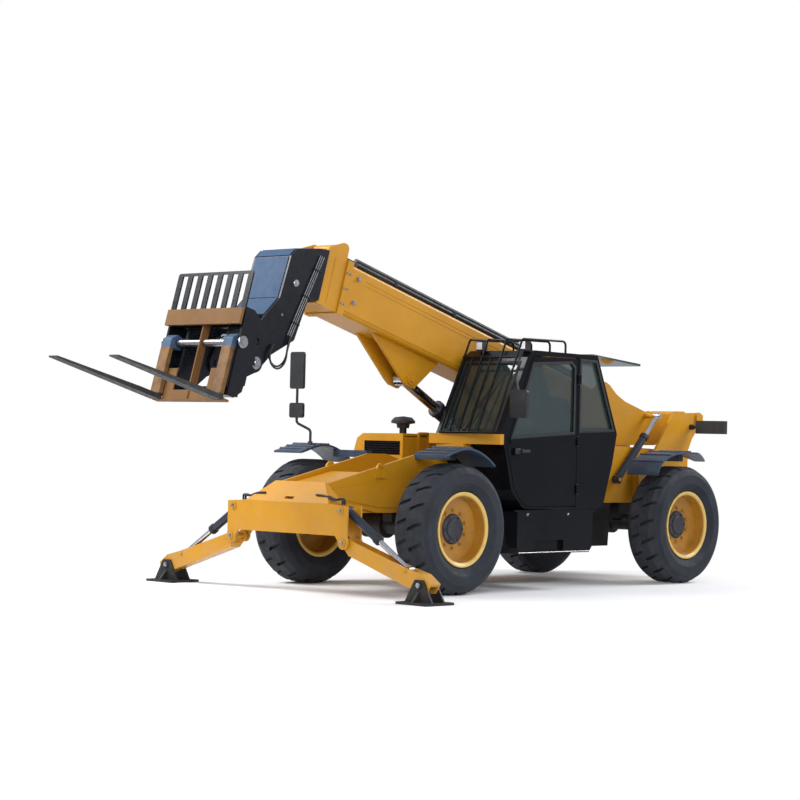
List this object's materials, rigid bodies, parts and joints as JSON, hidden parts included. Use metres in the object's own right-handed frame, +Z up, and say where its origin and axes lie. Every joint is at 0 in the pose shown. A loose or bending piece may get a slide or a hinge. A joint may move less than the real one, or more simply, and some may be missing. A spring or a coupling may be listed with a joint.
{
  "type": "telehandler",
  "caption": "Rigid telehandler with a left-hand cab, front stabilisers and pallet forks, boom part raised.",
  "frame": {"origin": "ground, below the middle of the whole machine's box in plan", "axes": "+X forward to the forks, +Y to the machine's left (cab side), +Z up"},
  "size_m": [8.5535, 3.75, 3.3067],
  "materials": {
    "yellow_paint": "semi-gloss amber yellow paint",
    "black_paint": "semi-gloss black paint",
    "tan_paint": "dull tan gold paint",
    "fork_steel": "dark forged steel, worn",
    "dark_metal": "dark blue-grey paint",
    "chrome_rod": "polished hard chrome",
    "tyre_rubber": "dull worn rubber",
    "black_plastic": "moulded black plastic",
    "hose_rubber": "matt black rubber",
    "cab_glass": "greenish clear glass",
    "seat_fabric": "dark woven seat cover",
    "lamp_lens": "clear lamp lens"
  },
  "bodies": {
    "chassis": {"side_frames": "yellow_paint", "levelling_foot": "yellow_paint", "tower_plates": "yellow_paint", "cross_members": "yellow_paint", "belly_frame": "black_paint", "axles": "black_paint", "stabiliser_beam": "yellow_paint", "cab_frame": "black_paint", "cab_sides": "black_paint", "cab_glass": "cab_glass", "seat": "seat_fabric", "controls": "black_plastic", "side_step": "black_paint", "fenders": "black_plastic", "engine_cowl": "yellow_paint", "front_cowl": "yellow_paint", "engine_block": "black_paint", "counterweight": "yellow_paint", "rear_lamps": "black_plastic", "cab_guard": "black_paint", "work_lamps": "lamp_lens", "mirrors": "black_plastic"},
    "boom_base": {"boom_base": "yellow_paint", "hose_tray": "hose_rubber"},
    "boom_mid": {"boom_mid": "yellow_paint"},
    "boom_fly": {"boom_fly": "black_paint"},
    "carriage": {"coupler": "black_paint", "carriage_frame": "tan_paint", "load_rack": "black_paint", "forks": "fork_steel"},
    "cab_door": {"cab_door": "black_paint", "door_glass": "cab_glass"},
    "engine_hood": {"engine_hood": "yellow_paint", "air_cleaner": "black_plastic"},
    "knuckle_front_left": {"knuckle_front_left": "black_paint"},
    "wheel_front_left": {"tyre_front_left": "tyre_rubber", "rim_front_left": "yellow_paint"},
    "knuckle_front_right": {"knuckle_front_right": "black_paint"},
    "wheel_front_right": {"tyre_front_right": "tyre_rubber", "rim_front_right": "yellow_paint"},
    "knuckle_rear_left": {"knuckle_rear_left": "black_paint"},
    "wheel_rear_left": {"tyre_rear_left": "tyre_rubber", "rim_rear_left": "yellow_paint"},
    "knuckle_rear_right": {"knuckle_rear_right": "black_paint"},
    "wheel_rear_right": {"tyre_rear_right": "tyre_rubber", "rim_rear_right": "yellow_paint"},
    "lift_ram_barrel": {"lift_ram_barrel": "dark_metal"},
    "lift_ram_rod": {"lift_ram_rod": "chrome_rod"},
    "levelling_ram_barrel": {"levelling_ram_barrel": "dark_metal"},
    "levelling_ram_rod": {"levelling_ram_rod": "chrome_rod"},
    "tilt_ram_barrel": {"tilt_ram_barrel": "dark_metal"},
    "tilt_ram_rod": {"tilt_ram_rod": "chrome_rod"},
    "stabiliser_leg_left": {"stabiliser_leg_left": "yellow_paint"},
    "stabiliser_foot_left": {"stabiliser_foot_left": "black_paint"},
    "stabiliser_ram_left_barrel": {"stabiliser_ram_left_barrel": "dark_metal"},
    "stabiliser_ram_left_rod": {"stabiliser_ram_left_rod": "chrome_rod"},
    "stabiliser_leg_right": {"stabiliser_leg_right": "yellow_paint"},
    "stabiliser_foot_right": {"stabiliser_foot_right": "black_paint"},
    "stabiliser_ram_right_barrel": {"stabiliser_ram_right_barrel": "dark_metal"},
    "stabiliser_ram_right_rod": {"stabiliser_ram_right_rod": "chrome_rod"}
  },
  "joints": [
    {"name": "steer_front_left", "type": "hinge", "parent": "chassis", "child": "knuckle_front_left", "pos_m": [0.565, 0.7, 0.62], "axis": [0, 0, 1], "range_deg": [-30, 30]},
    {"name": "roll_front_left", "type": "hinge", "parent": "knuckle_front_left", "child": "wheel_front_left", "pos_m": [0.565, 0.95, 0.62], "axis": [0, 1, 0], "continuous": true},
    {"name": "steer_front_right", "type": "hinge", "parent": "chassis", "child": "knuckle_front_right", "pos_m": [0.565, -0.7, 0.62], "axis": [0, 0, 1], "range_deg": [-30, 30]},
    {"name": "roll_front_right", "type": "hinge", "parent": "knuckle_front_right", "child": "wheel_front_right", "pos_m": [0.565, -0.95, 0.62], "axis": [0, 1, 0], "continuous": true},
    {"name": "steer_rear_left", "type": "hinge", "parent": "chassis", "child": "knuckle_rear_left", "pos_m": [-3.035, 0.7, 0.62], "axis": [0, 0, 1], "range_deg": [-30, 30]},
    {"name": "roll_rear_left", "type": "hinge", "parent": "knuckle_rear_left", "child": "wheel_rear_left", "pos_m": [-3.035, 0.95, 0.62], "axis": [0, 1, 0], "continuous": true},
    {"name": "steer_rear_right", "type": "hinge", "parent": "chassis", "child": "knuckle_rear_right", "pos_m": [-3.035, -0.7, 0.62], "axis": [0, 0, 1], "range_deg": [-30, 30]},
    {"name": "roll_rear_right", "type": "hinge", "parent": "knuckle_rear_right", "child": "wheel_rear_right", "pos_m": [-3.035, -0.95, 0.62], "axis": [0, 1, 0], "continuous": true},
    {"name": "boom_lift", "type": "hinge", "parent": "chassis", "child": "boom_base", "pos_m": [-4.185, 0, 1.76], "axis": [0, -1, 0], "range_deg": [-13.5, 44]},
    {"name": "boom_extend", "type": "slide", "parent": "boom_base", "child": "boom_mid", "axis": [0.9627, 0, 0.2706], "range_m": [0, 3.2]},
    {"name": "boom_extend_fly", "type": "slide", "parent": "boom_mid", "child": "boom_fly", "axis": [0.9627, 0, 0.2706], "range_m": [0, 3.2]},
    {"name": "carriage_tilt", "type": "hinge", "parent": "boom_fly", "child": "carriage", "pos_m": [2.5232, 0, 2.1186], "axis": [0, -1, 0], "range_deg": [-100, 12]},
    {"name": "lift_ram_swing", "type": "hinge", "parent": "chassis", "child": "lift_ram_barrel", "pos_m": [-2.61, 0, 0.49], "axis": [0, -1, 0], "range_deg": [-14.31, 46.64]},
    {"name": "lift_ram_stroke", "type": "slide", "parent": "lift_ram_barrel", "child": "lift_ram_rod", "axis": [0.8782, 0, 0.4784], "range_m": [-0.43354, 1.41302]},
    {"name": "levelling_ram_swing", "type": "hinge", "parent": "chassis", "child": "levelling_ram_barrel", "pos_m": [-2.767, 0.38, 1.083], "axis": [0, -1, 0], "range_deg": [-9.68, 2.97]},
    {"name": "levelling_ram_stroke", "type": "slide", "parent": "levelling_ram_barrel", "child": "levelling_ram_rod", "axis": [-0.7101, 0, 0.7041], "range_m": [-0.13666, 0.44541]},
    {"name": "tilt_ram_swing", "type": "hinge", "parent": "boom_fly", "child": "tilt_ram_barrel", "pos_m": [1.9761, 0, 2.6608], "axis": [0, -1, 0], "range_deg": [-13, 1.56]},
    {"name": "tilt_ram_stroke", "type": "slide", "parent": "tilt_ram_barrel", "child": "tilt_ram_rod", "axis": [0.8884, 0, -0.459], "range_m": [-0.0377, 0.31416]},
    {"name": "stabiliser_left", "type": "hinge", "parent": "chassis", "child": "stabiliser_leg_left", "pos_m": [1.715, 0.75, 0.5], "axis": [1, 0, 0], "range_deg": [-4, 80]},
    {"name": "foot_left", "type": "hinge", "parent": "stabiliser_leg_left", "child": "stabiliser_foot_left", "pos_m": [1.715, 1.69, 0.17], "axis": [1, 0, 0], "range_deg": [-25, 25]},
    {"name": "stabiliser_ram_left_swing", "type": "hinge", "parent": "chassis", "child": "stabiliser_ram_left_barrel", "pos_m": [1.715, 0.72, 0.79], "axis": [1, 0, 0], "range_deg": [-3.84, 76.8]},
    {"name": "stabiliser_ram_left_stroke", "type": "slide", "parent": "stabiliser_ram_left_barrel", "child": "stabiliser_ram_left_rod", "axis": [0, 0.8419, -0.5397], "range_m": [-0.37001, 0.0185]},
    {"name": "stabiliser_right", "type": "hinge", "parent": "chassis", "child": "stabiliser_leg_right", "pos_m": [1.715, -0.75, 0.5], "axis": [-1, 0, 0], "range_deg": [-4, 80]},
    {"name": "foot_right", "type": "hinge", "parent": "stabiliser_leg_right", "child": "stabiliser_foot_right", "pos_m": [1.715, -1.69, 0.17], "axis": [-1, 0, 0], "range_deg": [-25, 25]},
    {"name": "stabiliser_ram_right_swing", "type": "hinge", "parent": "chassis", "child": "stabiliser_ram_right_barrel", "pos_m": [1.715, -0.72, 0.79], "axis": [-1, 0, 0], "range_deg": [-3.84, 76.8]},
    {"name": "stabiliser_ram_right_stroke", "type": "slide", "parent": "stabiliser_ram_right_barrel", "child": "stabiliser_ram_right_rod", "axis": [0, -0.8419, -0.5397], "range_m": [-0.37001, 0.0185]},
    {"name": "cab_door", "type": "hinge", "parent": "chassis", "child": "cab_door", "pos_m": [-1.135, 1.119, 1.55], "axis": [0, 0, 1], "range_deg": [0, 85]},
    {"name": "engine_hood", "type": "hinge", "parent": "chassis", "child": "engine_hood", "pos_m": [-1.215, -0.345, 1.52], "axis": [-1, 0, 0], "range_deg": [0, 60]}
  ],
  "couplings": [
    {"joint": "steer_front_right", "follows": "steer_front_left", "ratio": 1},
    {"joint": "steer_rear_right", "follows": "steer_rear_left", "ratio": 1},
    {"joint": "boom_extend_fly", "follows": "boom_extend", "ratio": 1},
    {"joint": "lift_ram_swing", "follows": "boom_lift", "ratio": 1.06},
    {"joint": "lift_ram_stroke", "follows": "boom_lift", "m_per_rad": 1.84},
    {"joint": "levelling_ram_swing", "follows": "boom_lift", "ratio": -0.22},
    {"joint": "levelling_ram_stroke", "follows": "boom_lift", "m_per_rad": 0.58},
    {"joint": "tilt_ram_swing", "follows": "carriage_tilt", "ratio": 0.13},
    {"joint": "tilt_ram_stroke", "follows": "carriage_tilt", "m_per_rad": -0.18},
    {"joint": "stabiliser_ram_left_swing", "follows": "stabiliser_left", "ratio": 0.96},
    {"joint": "stabiliser_ram_left_stroke", "follows": "stabiliser_left", "m_per_rad": -0.265},
    {"joint": "stabiliser_ram_right_swing", "follows": "stabiliser_right", "ratio": 0.96},
    {"joint": "stabiliser_ram_right_stroke", "follows": "stabiliser_right", "m_per_rad": -0.265}
  ]
}
